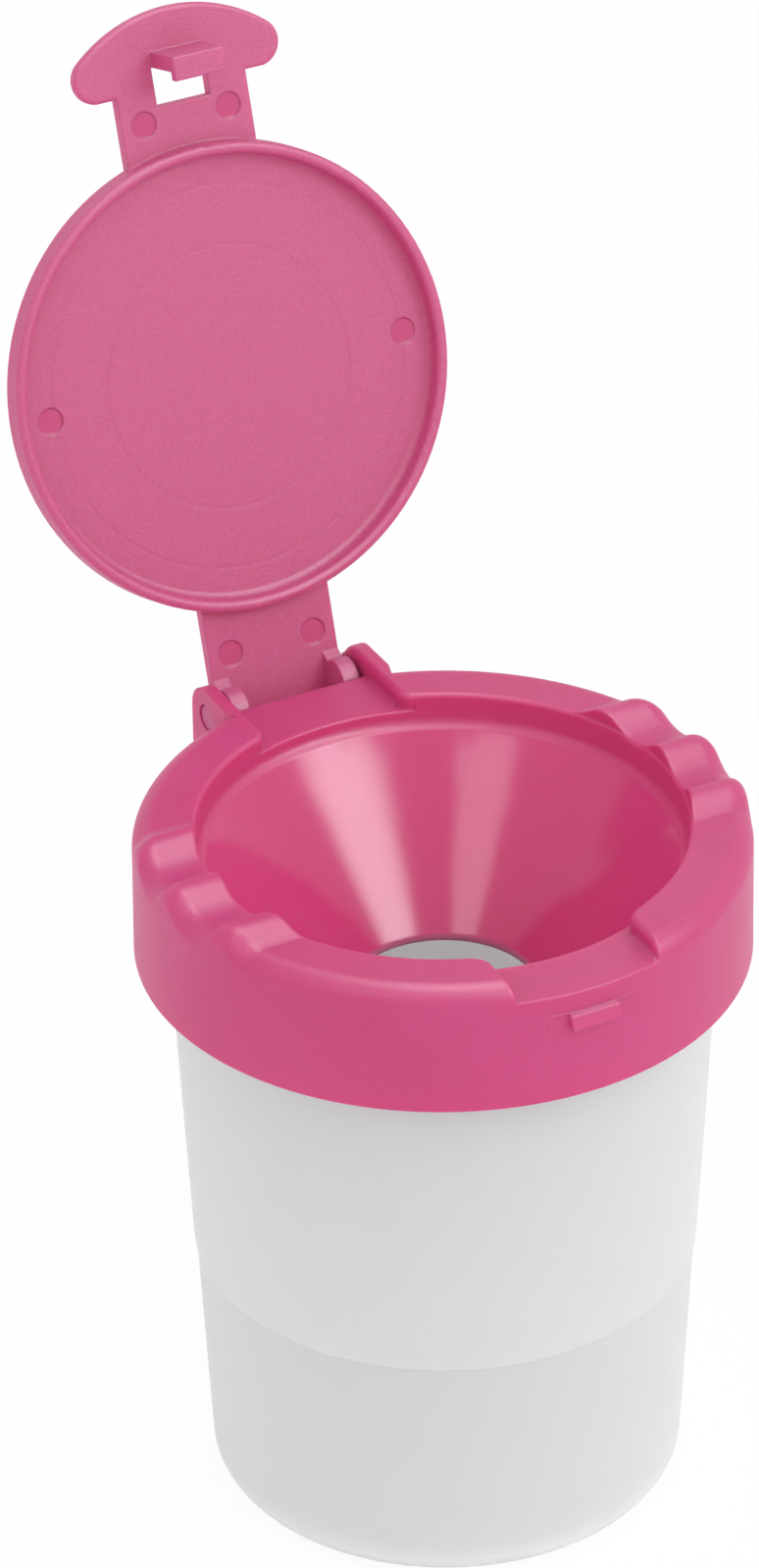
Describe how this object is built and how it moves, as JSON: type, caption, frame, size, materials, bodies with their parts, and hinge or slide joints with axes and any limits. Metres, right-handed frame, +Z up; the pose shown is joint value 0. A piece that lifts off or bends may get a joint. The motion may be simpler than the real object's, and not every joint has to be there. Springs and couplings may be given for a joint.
{
  "type": "paint cup with lid",
  "caption": "Tapered translucent paint cup with a funnel lid that snaps over its lip, brush rests on the rim and a hinged plug cap that latches at the front.",
  "frame": {"origin": "middle of the cup's foot, on the surface it stands on", "axes": "+Z up along the cup's axis; the latch and its catch face -Y, the hinge is at +Y and its pins lie along X"},
  "size_m": [0.08, 0.1167, 0.1811],
  "materials": {
    "translucent_plastic": "natural translucent polypropylene, softly glossy outside",
    "pink_gloss_plastic": "pink polypropylene: satin rim and skirt, polished funnel",
    "pink_matte_plastic": "pink polypropylene with a fine spark-eroded grain"
  },
  "bodies": {
    "cup_body": {"cup": "translucent_plastic"},
    "lid_body": {"funnel_lid": "pink_gloss_plastic"},
    "cap_body": {"hinged_cap": "pink_matte_plastic"}
  },
  "joints": [
    {"name": "lid_lift", "type": "slide", "parent": "cup_body", "child": "lid_body", "axis": [0, 0, 1], "range_m": [0, 0.045]},
    {"name": "cap_hinge", "type": "hinge", "parent": "lid_body", "child": "cap_body", "pos_m": [0, 0.0435, 0.0933], "axis": [1, 0, 0], "range_deg": [0, 107.7]}
  ]
}
